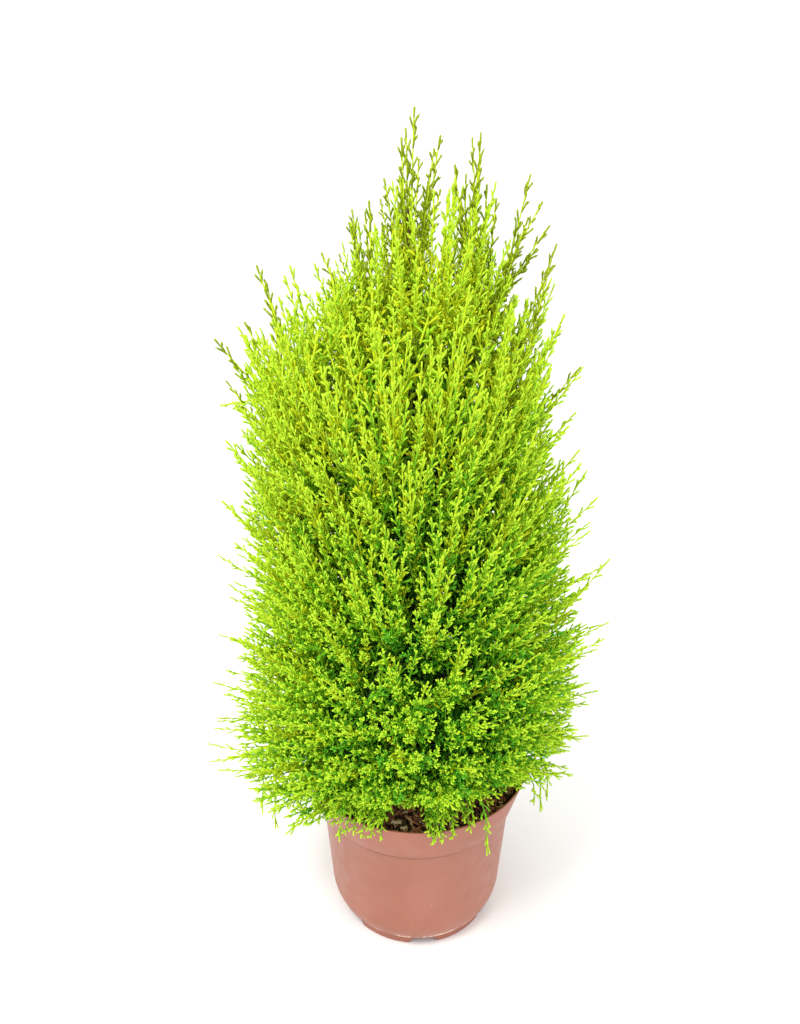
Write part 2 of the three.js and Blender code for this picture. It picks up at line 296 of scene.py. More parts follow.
def taken(bm):
    """The arrays of a finished shape, ready for copies along curves."""
    bm.verts.index_update()
    shape = {
        "corners": np.array([tuple(v.co) for v in bm.verts]),
        "faces": np.array([[v.index for v in f.verts] for f in bm.faces]),
        "ages": np.array([f.material_index for f in bm.faces]),
    }
    bm.free()
    return shape


# %% Five kinds of spray
def spray_kind(lengths, spacing, twig_length, knob, width, spread, bare):
    sizes = [spacing * MM, twig_length * MM, knob * MM, width * MM, spread, bare]
    return [make_spray(length * MM, *sizes) for length in lengths]


# Lengths, then the gap between side twigs, a twig's length, a short cord's length and a cord's width,
# all in millimetres, then the spread of the twigs in degrees and the bare share of the stem.
SPRAYS = {
    "coral": spray_kind((34, 39, 44, 50), 3.3, 6.0, 3.3, 1.5, 56, 0.10),
    "plume": spray_kind((52, 60, 68, 76), 3.7, 7.2, 4.0, 1.45, 36, 0.12),
    "shoot": spray_kind((76, 88, 100, 112), 4.2, 11.0, 4.8, 1.4, 31, 0.14),
    "leader": spray_kind((92, 106, 120, 134), 4.4, 14.0, 5.2, 1.65, 32, 0.12),
    "brush": spray_kind((30, 36, 42), 5.4, 10.5, 7.0, 2.3, 52, 0.05),
}
for kind, shapes in SPRAYS.items():
    print(kind, [len(s["faces"]) for s in shapes], "triangles")

# %% [markdown]
# ## Bending a copy
# A copy of a spray or a limb lies along a curve with three control points. Each corner of the straight
# shape keeps its distance from the stem and follows the curve's own direction, so a copy bends the way
# a shoot turns up to the light.

# %% Copies along curves
def on_curve(curve, share):
    base, bend, tip = curve
    return (1 - share) ** 2 * base + 2 * share * (1 - share) * bend + share**2 * tip


def linked(name, mesh, materials):
    """An object for a mesh, with its materials, in the scene."""
    for material in materials:
        mesh.materials.append(material)
    piece = bpy.data.objects.new(name, mesh)
    bpy.context.scene.collection.objects.link(piece)
    return piece


class Joined:
    """Many bent copies, gathered as arrays and made into one mesh."""

    def __init__(self):
        self.corners, self.faces, self.slots, self.count = [], [], [], 0

    def add(self, shape, curve, widths, roll, slots):
        share = (shape["corners"][:, 2] / shape["length"])[:, None]
        base, bend, tip = curve
        spine = on_curve(curve, share)
        along = 2 * (1 - share) * (bend - base) + 2 * share * (tip - bend)
        along /= np.linalg.norm(along, axis=1)[:, None]
        side = roll - along * (along @ roll)[:, None]
        side /= np.linalg.norm(side, axis=1)[:, None]
        over = np.cross(along, side)
        flat = shape["corners"][:, :2] * (widths[0] + (widths[1] - widths[0]) * share)
        self.corners.append(spine + side * flat[:, :1] + over * flat[:, 1:])
        self.faces.append(shape["faces"] + self.count)
        self.slots.append(slots[shape["ages"]])
        self.count += len(shape["corners"])

    def mesh_object(self, name, materials):
        corners, faces = np.concatenate(self.corners), np.concatenate(self.faces)
        mesh = bpy.data.meshes.new(name)
        mesh.vertices.add(len(corners))
        mesh.vertices.foreach_set("co", corners.ravel())
        mesh.loops.add(faces.size)
        mesh.loops.foreach_set("vertex_index", faces.ravel().astype(np.int32))
        mesh.polygons.add(len(faces))
        mesh.polygons.foreach_set("loop_start", np.arange(0, faces.size, 3, dtype=np.int32))
        mesh.polygons.foreach_set("material_index", np.concatenate(self.slots).astype(np.int32))
        mesh.update(calc_edges=True)
        return linked(name, mesh, materials)


# %% Limbs
OLD_LIMB = 0.4


def unit(vector):
    return vector / max(np.linalg.norm(vector), 1e-9)


def limb_shape(sides, steps):
    """A limb of length 1 and radius 1, closed at both ends; its steps carry two ages."""
    bm = bmesh.new()
    add_tube(bm, (1, 1), 1, sides, steps - 1)
    bmesh.ops.triangulate(bm, faces=bm.faces[:])
    for face in bm.faces:
        face.material_index = 1 if face.calc_center_median().z > OLD_LIMB else 0
    return taken(bm) | {"length": 1.0}


LIMB = limb_shape(5, 8)
TWIG = limb_shape(3, 2)
print("a branch has", len(LIMB["faces"]), "triangles and a twig", len(TWIG["faces"]))

# %% [markdown]
# ## The shape of the crown
# The solids of the masses are the envelope. Level rays from outside find how far the crown reaches at
# each height and azimuth. Closing that map, which widens it and then narrows it again, bridges the
# grooves between the masses, so that the sprays grow right over them.

# %% The envelope
AZIMUTHS = 96
LEVELS = 72
LEVEL_LOW, TOP_MARGIN = 0.140, 0.006
FAR_OUT = 0.4
LEAST_REACH = 0.012
level_heights = np.linspace(LEVEL_LOW, CROWN_TOP - TOP_MARGIN, LEVELS)


def solids_tree(names):
    corners, triangles = [], []
    for name in names:
        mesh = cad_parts[name].data
        offset = len(corners)
        corners.extend(v.co.copy() for v in mesh.vertices)
        triangles.extend([i + offset for i in p.vertices] for p in mesh.polygons)
    return bvhtree.BVHTree.FromPolygons(corners, triangles)


def measured_reach():
    tree = solids_tree(mass_names)
    reach = np.zeros((LEVELS, AZIMUTHS))
    for row, height in enumerate(level_heights):
        centre = Vector((*trunk_at(height), height))
        for column in range(AZIMUTHS):
            angle = 2 * math.pi * column / AZIMUTHS
            ray = Vector((math.cos(angle), math.sin(angle), 0))
            hit = tree.ray_cast(centre + ray * FAR_OUT, -ray, FAR_OUT)[0]
            if hit is not None:
                reach[row, column] = (hit - centre).length
    return reach


print("the crown is measured at", LEVELS, "heights and", AZIMUTHS, "azimuths")

# %% Closing the envelope
GROOVE_ROWS, GROOVE_COLUMNS = 4, 9
SOFT_ROWS, SOFT_COLUMNS = 2, 3


def window(field, rows, columns, rule):
    """A rule such as max or mean over a window that wraps round the crown."""
    around = np.stack([np.roll(field, k, axis=1) for k in range(-columns, columns + 1)])
    field = rule(around, axis=0)
    padded = np.pad(field, ((rows, rows), (0, 0)), mode="edge")
    stacked = np.stack([padded[k : k + LEVELS] for k in range(2 * rows + 1)])
    return rule(stacked, axis=0)


def closed_reach(reach):
    wide = window(reach, GROOVE_ROWS, GROOVE_COLUMNS, np.max)
    narrow = window(wide, GROOVE_ROWS, GROOVE_COLUMNS, np.min)
    return window(narrow, SOFT_ROWS, SOFT_COLUMNS, np.mean)


crown_reach = closed_reach(measured_reach())


def reach_at(height, azimuth):
    """The crown's reach, read from the map between its rows and columns."""
    row = np.interp(height, level_heights, np.arange(LEVELS))
    column = azimuth / (2 * math.pi) * AZIMUTHS % AZIMUTHS
    low, left = min(int(row), LEVELS - 2), int(column) % AZIMUTHS
    up, across = row - low, column - int(column)
    block = crown_reach[low : low + 2][:, [left, (left + 1) % AZIMUTHS]]
    lower, upper = block @ np.array([1 - across, across])
    return lower * (1 - up) + upper * up


def depth_of(point):
    """0 on the crown's outline, 1 on the trunk's line."""
    level = point[:2] - trunk_at(point[2])
    reach = reach_at(point[2], math.atan2(level[1], level[0]))
    return 1 - np.linalg.norm(level) / max(reach, LEAST_REACH)


print("the crown reaches up to", round(crown_reach.max(), 3), "m from its trunk")

# %% [markdown]
# ## Where sprays end
# The tips are scattered evenly over the envelope, about a centimetre apart, and further apart near the
# top, where the sky shows between the shoots. A point that falls too close to an earlier one is left
# out, which spaces them more evenly than chance does. Each tip belongs to the mass that it is in or
# nearest to. Shoots low on the tree lie almost level, and those near the top stand upright.

# %% Growing directions
RISE_HEIGHTS = (0.14, 0.18, 0.23, 0.28, 0.34, 0.42, 0.50, 0.57, 0.64)
RISE_ANGLES = (-6, 8, 20, 32, 43, 53, 65, 78, 88)
FRONT_STEEPER, STEEPEST = 17, 84


def growing_direction(point):
    """Shoots to the front and the back stand steeper than those at the sides, but for the topmost."""
    level, _ = outwards(point)
    rise = np.interp(point[2], RISE_HEIGHTS, RISE_ANGLES)
    rise = math.radians(min(rise + FRONT_STEEPER * abs(level[1]), max(rise, STEEPEST)))
    return np.array([level[0] * math.cos(rise), level[1] * math.cos(rise), math.sin(rise)])


def crown_point(height, azimuth, share):
    reach = reach_at(height, azimuth) * share
    x, y = trunk_at(height)
    return np.array([x + reach * math.cos(azimuth), y + reach * math.sin(azimuth), height])


print("shoots rise from", RISE_ANGLES[0], "to", RISE_ANGLES[-1], "degrees up the crown")

# %% Tips
DENSE_HEIGHTS = (0.14, 0.30, 0.42, 0.50, 0.56, 0.62)
DENSE_SHARES = (0.96, 0.95, 0.94, 0.89, 0.80, 0.64)
SHOULDER_HEIGHTS = (0.40, 0.44, 0.50, 0.54)
SHOULDER_FULLER = (0, 0.08, 0.08, 0)
SPACING_HEIGHTS = (0.14, 0.40, 0.50, 0.60)
SPACINGS = (0.0110, 0.0110, 0.0121, 0.0160)
KEPT_APART = 0.8
TIPS_TOP = 0.605
# Layers inside the crown: their share of its reach, and how much wider their tips are spaced.
INNER_LAYERS = ((0.70, 1.35), (0.44, 1.4), (0.16, 1.1))
INNER_TOP = 0.55
TRIES, MOST_TIPS = 16000, 4000


def fullness(height, azimuth):
    """How much of the envelope's reach the sprays fill; the left shoulder is the fullest."""
    shoulder = np.interp(height, SHOULDER_HEIGHTS, SHOULDER_FULLER) * max(0.0, -math.cos(azimuth))
    return np.interp(height, DENSE_HEIGHTS, DENSE_SHARES) + shoulder


def scattered_tips(stream, share=1.0, wider=1.0):
    """Points on the outline, or on a smaller crown inside it, that keep their distance."""
    step = level_heights[1] - level_heights[0]
    slope = np.gradient(crown_reach, step, axis=0)
    weights = crown_reach * np.sqrt(1 + slope**2)
    spacing = np.interp(level_heights, SPACING_HEIGHTS, SPACINGS) * wider
    weights = weights / spacing[:, None] ** 2
    weights[level_heights > TIPS_TOP] = 0
    if share < 1:
        weights[level_heights > INNER_TOP] = 0
    weights = weights.ravel()
    picks = stream.choice(weights.size, size=TRIES, p=weights / weights.sum())
    kept = np.empty((MOST_TIPS, 3))
    count = 0
    for pick in picks:
        row, column = divmod(pick, AZIMUTHS)
        height = level_heights[row] + stream.uniform(-0.5, 0.5) * step
        azimuth = 2 * math.pi * (column + stream.uniform(-0.5, 0.5)) / AZIMUTHS
        point = crown_point(height, azimuth, share * fullness(height, azimuth))
        gaps = ((kept[:count] - point) ** 2).sum(1)
        if count and gaps.min() < (KEPT_APART * spacing[row]) ** 2:
            continue
        kept[count] = point
        count += 1
    return kept[:count]


tips = scattered_tips(np.random.default_rng(5))
inner_tips = np.vstack([
    scattered_tips(np.random.default_rng(6 + k), share, wider)
    for k, (share, wider) in enumerate(INNER_LAYERS)
])
print(len(tips), "tips on the outline and", len(inner_tips), "behind them")

# %% Homes of the tips
STRAY = 0.010
SHOOT_DEPTH = 0.03
mass_trees = {name: solids_tree([name]) for name in mass_names}


def home_mass(point, stray=(0, 0, 0)):
    """The mass that a shoot ending here grows in; a stray shifts it, so that masses interlock."""
    inside = Vector(point - SHOOT_DEPTH * growing_direction(point) + stray)
    gaps = {name: tree.find_nearest(inside)[3] for name, tree in mass_trees.items()}
    return min(gaps, key=gaps.get)


strays = rng.normal(scale=STRAY, size=tips.shape)
homes = [home_mass(tip, stray) for tip, stray in zip(tips, strays)]
inner_homes = [home_mass(tip) for tip in inner_tips]
print("a mass is home to", min(map(homes.count, mass_names)), "tips or more")

# %% [markdown]
# ## Growing a mass
# A bough ends where it enters its mass. Branches go on from there, each to the middle of a bunch of
# eight or so tips. A plume grows out of its branch towards each tip, and a short dark tuft clothes the
# branch behind them. The middle plumes of a bunch stand proud of the others, which gives the crown
# its bunches of light tips with dark gaps between them.

# %% Shoots listed one by one
RIM_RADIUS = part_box("pot")[1].x
RIM_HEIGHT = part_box("pot")[1].z
# The longest shoots give the outline its character. Each is listed: how far its tip lies to the
# right of the pot's middle, how far behind it, and how high, in millimetres.
LONGEST = (
    (-5, 0, 646), (-13, -6, 628), (12, 8, 630), (38, -4, 631), (72, 6, 606), (48, -14, 592), (-46, 10, 584),
    (-34, -10, 590), (-66, -6, 558), (-112, 4, 548), (-142, -6, 500), (-145, 10, 450), (-120, -10, 512),
    (86, -12, 553), (99, 10, 506), (112, -4, 480), (126, 8, 398), (146, -8, 332), (147, 6, 268),
    (139, 14, 234), (-164, -10, 223), (-168, 8, 173), (-160, -20, 196), (-24, 6, 604), (22, 2, 612),
    (78, -10, 590), (70, -8, 580), (64, -12, 566), (-134, 0, 422), (-138, 4, 468), (-106, 6, 536),
    (92, 4, 562), (86, 8, 574), (78, 4, 560),
    (-2, -8, 616), (4, 6, 600), (30, 10, 606), (38, -8, 618), (-14, 8, 606), (12, -10, 598), (26, -6, 590),
    (44, 6, 600), (-10, 4, 634), (33, 2, 628), (8, -2, 622), (4, -126, 300), (22, -122, 294),
    (-16, -124, 296), (-168, -30, 178), (-165, -36, 166), (-157, -46, 165), (-131, -62, 160),
)
# Low sprays that hang over the rim and down to the compost, placed in the same way.
DROOPING = (
    (54, -82, 115), (-61, -82, 128), (-29, -94, 141), (11, -97, 139), (104, -30, 113), (110, -26, 121),
    (96, -44, 132), (-120, -30, 96), (-130, -28, 109), (-97, -52, 137), (-84, 58, 138), (70, 74, 134),
    (-10, 99, 138), (112, 24, 124), (-118, 18, 120), (-50, -86, 137), (-56, -83, 135), (-66, -76, 137),
    (-44, -90, 138), (-72, -70, 138), (-36, -92, 140), (18, -97, 139), (26, -94, 141), (12, -96, 140),
)
# Where the skirt lies on the compost and the rim: middle and half width of a sector in degrees, tufts.
SKIRT_SECTORS = ((-128, 20, 72), (-75, 11, 36), (150, 25, 34), (70, 30, 36))
SKIRT_REACH = (0.45, 1.12)
SKIRT_RISE = 0.010
SKIRT_SLOPE = 0.25


def skirt_tips(stream):
    """Tips of the low tufts that lie on the compost, and that lean on the rim where they reach it."""
    spots = []
    for middle, half, count in SKIRT_SECTORS:
        for _ in range(count):
            azimuth = math.radians(middle + stream.uniform(-half, half))
            radius = RIM_RADIUS * math.sqrt(stream.uniform(*SKIRT_REACH))
            height = RIM_HEIGHT + stream.uniform(0, SKIRT_RISE) + SKIRT_SLOPE * max(0, RIM_RADIUS - radius)
            spots.append((radius * math.cos(azimuth), radius * math.sin(azimuth), height))
    return np.array(spots)


longest_tips = np.array(LONGEST) * MM
drooping_tips = np.vstack([np.array(DROOPING) * MM, skirt_tips(np.random.default_rng(9))])
print(len(longest_tips), "longest shoots and", len(drooping_tips), "low ones")

# %% [markdown]
# ## Bunches and colours
# Tips that lie together share a branch. To find them, middles are spread out by always taking the tip
# that is furthest from those already taken, and then each middle moves to the mean of its own tips. The
# colour of a spray follows from where it grows: yellow where the light reaches it, on top, and deeper
# green inside and low down, partly the plant's own colour and partly painted light and shade. Lighter
# on the left and darker towards the front and the back are painted light and shade. A little chance
# mixes neighbours.

# %% Bunches
BUNCH = 8
MIDDLE_ROUNDS = 4


def bunches_of(points, stream):
    """The points in groups of about eight that lie together."""
    count = max(1, round(len(points) / BUNCH))
    middles = points[[stream.integers(len(points))]]
    while len(middles) < count:
        gap = np.linalg.norm(points[:, None] - middles[None], axis=2).min(1)
        middles = np.vstack([middles, points[gap.argmax()]])
    for _ in range(MIDDLE_ROUNDS):
        owner = np.linalg.norm(points[:, None] - middles[None], axis=2).argmin(1)
        own = [points[owner == k] for k in range(count)]
        middles = np.array([group.mean(0) if len(group) else middles[k] for k, group in enumerate(own)])
    return [group for group in own if len(group)]


def bough_end(name):
    """The middle of the end of a bough that lies inside its mass."""
    points = node_points(name)
    distance = np.array([outwards(p)[1] + 0.5 * p[2] for p in points])
    return points[distance > distance.max() - 3 * MM].mean(0)


print("bunches of", BUNCH, "tips grow from", len(bough_names), "boughs and the leader")

# %% Colours by place
# Gold rises with height. The lift on the left and the darkening in front and behind are painted light and
# shade; depth darkens partly as greener inner growth and partly as painted shade.
SHADED_HEIGHTS, SHADED = (0.30, 0.46), (1.1, 0.15)
GOLD_MIDDLE, GOLD_HEIGHT, GOLD_RISE = 0.50, 0.25, 1.8
LEFT_PAINTED_LIGHT, FRONT_BACK_PAINTED_SHADE = 0.22, 0.42
MIXED_HEIGHTS, MIXED = (0.40, 0.50), (0.27, 0.17)
TOP_HEIGHTS, TOP_GOLD = (0.52, 0.58), (0.0, 0.4)
FLOOR_HEIGHTS, FLOOR_GOLD = (0.42, 0.46, 0.50), (-1.2, 0.2, 0.48)
DRESS_ORDER = ("dark", "inner", "shady", "leafy", "bright", "golden", "tip")
DRESS_STEPS = (-0.75, -0.4, -0.1, 0.16, 0.46, 1.4)


def pick_dress(stream, height, depth, side):
    """Golden on top, greener inside and below, partly as painted shade; painted light on the left, painted
    shade in front and behind; light near the top.
    """
    gold = GOLD_MIDDLE + GOLD_RISE * (height - GOLD_HEIGHT)
    # Painted light on the left, the lamp's side, and painted shade in front and behind.
    gold -= LEFT_PAINTED_LIGHT * side[0] + FRONT_BACK_PAINTED_SHADE * abs(side[1])
    gold -= depth * np.interp(height, SHADED_HEIGHTS, SHADED)
    gold += stream.normal() * np.interp(height, MIXED_HEIGHTS, MIXED)
    gold += np.interp(height, TOP_HEIGHTS, TOP_GOLD)
    gold = max(gold, np.interp(height, FLOOR_HEIGHTS, FLOOR_GOLD))
    return DRESS_ORDER[int(np.searchsorted(DRESS_STEPS, gold))]


CORAL_HEIGHTS, CORAL_CHANCES = (0.22, 0.36), (0.9, 0.0)
SHOOT_HEIGHTS, SHOOT_CHANCES = (0.40, 0.55), (0.05, 0.85)


def spray_for(height, stream):
    """Stubby sprays low on the tree, long and open shoots near its top, plumes between them."""
    if stream.random() < np.interp(height, CORAL_HEIGHTS, CORAL_CHANCES):
        kind = SPRAYS["coral"]
    elif stream.random() < np.interp(height, SHOOT_HEIGHTS, SHOOT_CHANCES):
        kind = SPRAYS["shoot"]
    else:
        kind = SPRAYS["plume"]
    return kind[stream.integers(len(kind))]


print("colours run from", DRESS_ORDER[0], "inside to", DRESS_ORDER[-1], "at the top")

# %% [markdown]
# ## Plumes and twigs
# A plume starts on its branch, at the point that lies about its own length from the tip. Where the
# branch is too far away the plume starts in front of it, and a thin twig joins the two. A plume ends in
# the way the crown grows there, so every shoot turns up to the light, the low ones less than the high
# ones.

# %% A plume on its branch
TWIG_RADII = (0.5 * MM, 0.45 * MM)
LONG_TWIG_RADII = (0.6 * MM, 0.5 * MM)
TWIG_GAP = 4 * MM
UPRIGHT = np.array([0, 0, 1])
LOW_TIP, LIFT = 0.150, 0.75
NEAR, FAR, CUT_SHORT = 1.05, 1.3, 1.1
BEND_SHARE = 0.6
SIZES = (0.9, 1.12)
OLD_TWIG, GREEN_TIP, GREEN_TWIG = np.array([0, 0]), np.array([0, 1]), np.array([1, 1])
STRAIGHT, STRAIGHTER, STRAIGHTEST = 0.4, 0.6, 0.75


def random_side(stream, along):
    side = stream.normal(size=3)
    return unit(side - along * (side @ along))


def grow_plume(leaves, line, tip, shape, dress, stream, straight=STRAIGHT):
    """One plume from its branch to its tip; beyond the branch it turns the way the crown grows."""
    length = shape["length"]
    gaps = np.linalg.norm(tip - line, axis=1)
    place = np.abs(gaps - NEAR * length).argmin()
    root = line[place]
    chord = unit(tip - root)
    upwards = unit(straight * chord + (1 - straight) * growing_direction(tip))
    base = root if gaps[place] < FAR * length else tip - upwards * length * CUT_SHORT
    bend = tip - upwards * np.linalg.norm(tip - base) * BEND_SHARE
    size = stream.uniform(*SIZES)
    leaves.add(shape, (base, bend, tip), (size, size), random_side(stream, chord), dress_slots[dress])
    return root, base


def join_twig(wood, root, base, radii, stream):
    """A thin straight twig from the branch to the foot of a plume, where they lie apart."""
    if np.linalg.norm(root - base) > TWIG_GAP:
        side = random_side(stream, unit(base - root))
        wood.add(TWIG, (root, (root + base) / 2, base), radii, side, GREEN_TWIG)


def lifted(tip):
    """The lowest tips are brought up, so that few of them hang lower than the rim."""
    return tip + UPRIGHT * LIFT * max(0, LOW_TIP - tip[2])


def nearest(line, point):
    return line[np.linalg.norm(line - point, axis=1).argmin()]


print("twigs are", TWIG_RADII[0] * 2 / MM, "mm thick")

# %% [markdown]
# ## Low sprays
# The lowest sprays do three things. Most lie on the compost in small tufts. Some lean on the rim and
# bend down over its edge. A few long ones hang freely beside the pot. Each has a curve of its own,
# because the way the crown grows says nothing about sprays that have sunk under their weight.

# %% A low spray
DROOP_LONG = 0.132
DROOP_TURN = 0.35


def low_curve(tip, length, level, outside):
    """The base and the bend of a low spray: over the rim, hanging beside it, or on the compost."""
    if outside and tip[2] > DROOP_LONG:
        on_rim = tip + UPRIGHT * (RIM_HEIGHT - tip[2])
        return on_rim - 0.8 * length * level + 0.35 * length * UPRIGHT, on_rim + 0.22 * length * UPRIGHT
    if outside:
        up = np.array([0, 0, RIM_HEIGHT + 0.42 * length - tip[2]])
        return tip - 0.35 * length * level + up, tip + up
    up = length * UPRIGHT
    return tip - 0.85 * length * level + 0.4 * up, tip - 0.4 * length * level + 0.35 * up


def grow_low(leaves, wood, lines, tip, stream):
    """A spray that leaves its branch outwards; past the rim it bends down over it."""
    outside = np.linalg.norm(tip[:2]) > RIM_RADIUS and tip[2] < RIM_HEIGHT
    shape = SPRAYS["plume" if outside and tip[2] < DROOP_LONG else "coral"][stream.integers(3)]
    turned = math.atan2(tip[1], tip[0]) + stream.uniform(-DROOP_TURN, DROOP_TURN)
    level = np.array([math.cos(turned), math.sin(turned), 0])
    base, bend = low_curve(tip, shape["length"], level, outside)
    root = nearest(lines, base)
    side = random_side(stream, unit(tip - base))
    dress = "bright" if stream.random() < 0.5 else "leafy"
    leaves.add(shape, (base, bend, tip), (1, 1), side, dress_slots[dress])
    wood.add(TWIG, (root, (root + base) / 2, base), LONG_TWIG_RADII, side, GREEN_TIP)


print("sprays over the rim arch above", DROOP_LONG, "m and hang straight below it")

# %% [markdown]
# ## A bunch
# A bunch is one branch, its eight or so plumes, one long leading shoot and, below the open top, one
# tuft of brush behind them. The branch ends about three centimetres inside the tips, so that it is seen
# only in the gaps, as on the real tree.

# %% A bunch on its branch
BUNCH_CROWN = 0.011
PROUD = 0.003
UNEVEN = 0.004
LEADING = (0.006, 0.026)
LEADING_HEIGHTS, LEADING_SHARES = (0.2, 0.4, 0.52, 0.6), (0.8, 1.3, 1.2, 0.6)
LEADER_HEIGHT = 0.36
BRUSH_TOP = 0.50
BRUSH_DEPTH, BRUSH_SHADE, EDGE_SHADE = 0.1, 0.1, 0.15
BRUSH_SCATTER, LEADING_SCATTER = 0.6, 0.12
LINE_POINTS, LINE_BARE = 24, 6
BRUSH_SPAN = (8, 22)
BRANCH_END = 0.028
BRANCH_RADII = (1.4 * MM, 0.4 * MM)


def grow_brush(leaves, root, stream):
    """A tuft of brush on a branch; where it would reach the outline it is left out."""
    shape = SPRAYS["brush"][stream.integers(3)]
    along = unit(growing_direction(root) + stream.normal(size=3) * BRUSH_SCATTER)
    tip = root + along * shape["length"]
    depth = depth_of(tip)
    if depth > BRUSH_DEPTH:
        dress = pick_dress(stream, root[2], depth + BRUSH_SHADE, outwards(root)[0])
        curve = (root, (root + tip) / 2, tip)
        leaves.add(shape, curve, (1, 1), random_side(stream, along), dress_slots[dress])


def grow_bunch(start, bunch, leaves, wood, stream):
    """A branch to the middle of a bunch, its plumes, its leading shoot and the brush behind them."""
    middle = bunch.mean(0)
    upwards = growing_direction(middle)
    end = middle - upwards * BRANCH_END
    bend = end - upwards * 0.5 * np.linalg.norm(end - start)
    line = on_curve((start, bend, end), np.linspace(0, 1, LINE_POINTS)[:, None])
    side = random_side(stream, unit(end - start))
    wood.add(LIMB, (start, bend, end), BRANCH_RADII, side, GREEN_TIP)
    spread = np.linalg.norm(bunch - middle, axis=1)
    for point, away in zip(bunch, spread / max(spread.max(), 8 * MM)):
        shape = spray_for(point[2], stream)
        ahead = PROUD - BUNCH_CROWN * away**2 + stream.uniform(-UNEVEN, UNEVEN)
        tip = lifted(point + growing_direction(point) * ahead)
        dress = pick_dress(stream, point[2], EDGE_SHADE * away**2, outwards(point)[0])
        root, base = grow_plume(leaves, line[LINE_BARE:], tip, shape, dress, stream)
        join_twig(wood, root, base, TWIG_RADII, stream)
    ahead = stream.uniform(*LEADING) * np.interp(middle[2], LEADING_HEIGHTS, LEADING_SHARES)
    kind = SPRAYS["leader" if middle[2] > LEADER_HEIGHT else "shoot"]
    tip = lifted(middle + unit(upwards + stream.normal(size=3) * LEADING_SCATTER) * ahead)
    grow_plume(leaves, line[LINE_BARE:], tip, kind[stream.integers(4)], "golden", stream, STRAIGHTER)
    if middle[2] < BRUSH_TOP:
        grow_brush(leaves, line[stream.integers(*BRUSH_SPAN)], stream)
    return line


print("a branch ends", BRANCH_END, "m inside the middle of its bunch")

# %% [markdown]
# ## A mass
# A mass is its bunches, the longest shoots and the low sprays that end in it, and a layer of brush on
# the inner tips. The brush hides the trunk and closes the view through the crown without the cost of
# full sprays, and it gets the darker dresses because it grows deep inside.

# %% A mass of foliage
LONG_SHOOT_HEIGHT = 0.3
TIP_DRESS_HEIGHT = 0.46
LEADER_DROP = 0.09
INNER_SCATTER, INNER_SHADE = 0.4, 0.8


def grow_longest(leaves, wood, lines, tip, stream):
    shape = SPRAYS["leader" if tip[2] > LONG_SHOOT_HEIGHT else "shoot"][stream.integers(1, 4)]
    dress = "tip" if tip[2] > TIP_DRESS_HEIGHT else "golden"
    root, base = grow_plume(leaves, lines, tip, shape, dress, stream, STRAIGHTEST)
    join_twig(wood, root, base, LONG_TWIG_RADII, stream)


def grow_inner(leaves, wood, lines, point, stream):
    """A tuft of brush that ends on an inner tip, and the twig that carries it."""
    shape = SPRAYS["brush"][stream.integers(3)]
    along = unit(growing_direction(point) + stream.normal(size=3) * INNER_SCATTER)
    base = point - along * shape["length"]
    root = nearest(lines, base)
    dress = pick_dress(stream, point[2], INNER_SHADE * depth_of(point), outwards(point)[0])
    curve = (base, (base + point) / 2, point)
    leaves.add(shape, curve, (1, 1), random_side(stream, along), dress_slots[dress])
    if np.linalg.norm(root - base) > 2 * MM:
        curve = (root, (root + base) / 2 - along * 3 * MM, base + along * 2 * MM)
        wood.add(TWIG, curve, TWIG_RADII, random_side(stream, unit(base - root)), OLD_TWIG)


def branch_start(name, entry, bunch):
    """Branches start at the end of their bough; the topmost ones start on the leader below them."""
    if name != "mass_leader":
        return entry
    foot = max(entry[2], bunch.mean(0)[2] - LEADER_DROP)
    return np.array([*trunk_at(foot), foot])


def grow_mass(name, points, inner_points, longest, low, leaves, wood, stream):
    if name == "mass_leader":
        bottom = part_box(name)[0].z
        entry = np.array([*trunk_at(bottom), bottom])
    else:
        entry = bough_end(name.replace("mass", "bough"))
    lines = []
    for bunch in bunches_of(points, stream):
        lines.append(grow_bunch(branch_start(name, entry, bunch), bunch, leaves, wood, stream))
    lines = np.vstack(lines)
    for tip in longest:
        grow_longest(leaves, wood, lines, tip, stream)
    for tip in low:
        grow_low(leaves, wood, lines, tip, stream)
    for point in inner_points:
        grow_inner(leaves, wood, lines, point, stream)


print("brush takes", len(inner_tips), "inner tips")

# %% [markdown]
# ## All the masses
# Every mass has its own seeded stream, so a change in one leaves the others as they are. Its leaves are
# joined into one piece, which takes the place of the plain solid, and the branches and twigs of all the
# masses are joined into another.

# %% Grow every mass
bark_plain = plain_material("twig_bark", (66, 92, 38), 0.8)
green_bark = plain_material("young_bark", (150, 186, 52), 0.6)
wood = Joined()
triangles = 0
for number, name in enumerate(mass_names):
    stream = np.random.default_rng(100 + number)
    leaves = Joined()
    own = tips[[k for k, home in enumerate(homes) if home == name]]
    behind = inner_tips[[k for k, home in enumerate(inner_homes) if home == name]]
    longest = [tip for tip in longest_tips if home_mass(tip) == name]
    low = [tip for tip in drooping_tips if home_mass(tip) == name]
    grow_mass(name, own, behind, longest, low, leaves, wood, stream)
    piece = leaves.mesh_object(name.replace("mass", "sprays"), leaf_materials)
    triangles += len(piece.data.polygons)
    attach(piece, "root")
    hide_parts(name)
branches = wood.mesh_object("branches", [bark_plain, green_bark])
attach(branches, "root")
print(triangles, "leaf triangles,", len(branches.data.polygons), "branch triangles")

# %% [markdown]
# ## The pot
# The real pot is one thin moulded wall: a flared rim band, a long body, a rounded shoulder and a
# stepped foot ring with six notches. The solid in the frame has the right sizes but flat sides, so a
# finer pot is spun from the same outline. Its corners are bevelled, because a moulded edge is never
# sharp and a small round catches the light.

# %% Helpers for closed pieces
def new_piece(name, bm, materials):
    """A smooth piece from a finished shape, with its faces pointing out."""
    bmesh.ops.recalc_face_normals(bm, faces=bm.faces)
    mesh = bpy.data.meshes.new(name)
    bm.to_mesh(mesh)
    bm.free()
    mesh.polygons.foreach_set("use_smooth", [True] * len(mesh.polygons))
    print(name, "has", len(mesh.polygons), "faces")
    return linked(name, mesh, materials)


